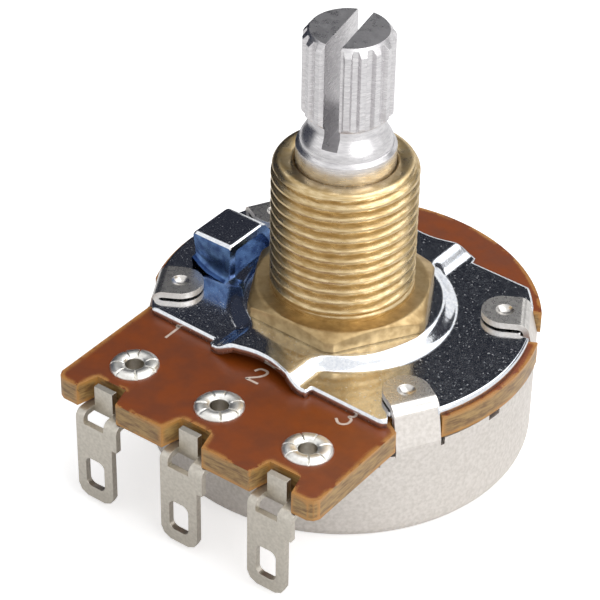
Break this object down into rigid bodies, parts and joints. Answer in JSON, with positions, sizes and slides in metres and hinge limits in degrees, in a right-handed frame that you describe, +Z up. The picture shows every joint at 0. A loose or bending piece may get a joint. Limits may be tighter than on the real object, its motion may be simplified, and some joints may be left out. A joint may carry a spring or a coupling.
{
  "type": "rotary potentiometer",
  "caption": "Panel potentiometer with a split knurled shaft in a threaded hex bushing, a crimped round can, and solder lugs riveted to a laminate board.",
  "frame": {"origin": "on the shaft axis, in the plane of the hex shoulder that seats on the panel", "axes": "+Z up the shaft away from the can, +X along the row of lugs from terminal 1 to terminal 3, lugs on the -Y side"},
  "size_m": [0.0246, 0.0289, 0.0284],
  "materials": {
    "can_tin": "matt tin plate",
    "fish_paper": "insulating paper",
    "paper_phenolic": "paper laminate, satin faces and fibrous edges",
    "carbon_print": "printed carbon",
    "silver_print": "printed silver",
    "bright_zinc": "bright zinc plate",
    "turned_brass": "turned",
    "tinned_lug": "tinned",
    "eyelet_tin": "bright tin",
    "turned_aluminium": "turned and knurled",
    "spring_steel": "plain spring steel",
    "black_moulding": "moulded",
    "spring_bronze": "rolled",
    "brush_carbon": "sintered carbon"
  },
  "bodies": {
    "housing": {"can": "can_tin", "can_liner": "fish_paper", "board": "paper_phenolic", "resistive_track": "carbon_print", "track_end_1": "silver_print", "track_end_3": "silver_print", "collector_ring": "silver_print", "front_plate": "bright_zinc", "bushing": "turned_brass", "terminal_1": "tinned_lug", "terminal_2": "tinned_lug", "terminal_3": "tinned_lug", "rivet_1": "eyelet_tin", "rivet_2": "eyelet_tin", "rivet_3": "eyelet_tin", "spring_washer": "spring_steel"},
    "turning_set": {"shaft": "turned_aluminium", "thrust_washer": "spring_steel", "retaining_ring": "spring_steel", "rotor": "black_moulding", "wiper_spring": "spring_bronze", "track_brush": "brush_carbon", "collector_brush": "brush_carbon"}
  },
  "joints": [
    {"name": "shaft_turn", "type": "hinge", "parent": "housing", "child": "turning_set", "pos_m": [0, 0, 0], "axis": [0, 0, 1], "range_deg": [-150, 150]}
  ]
}
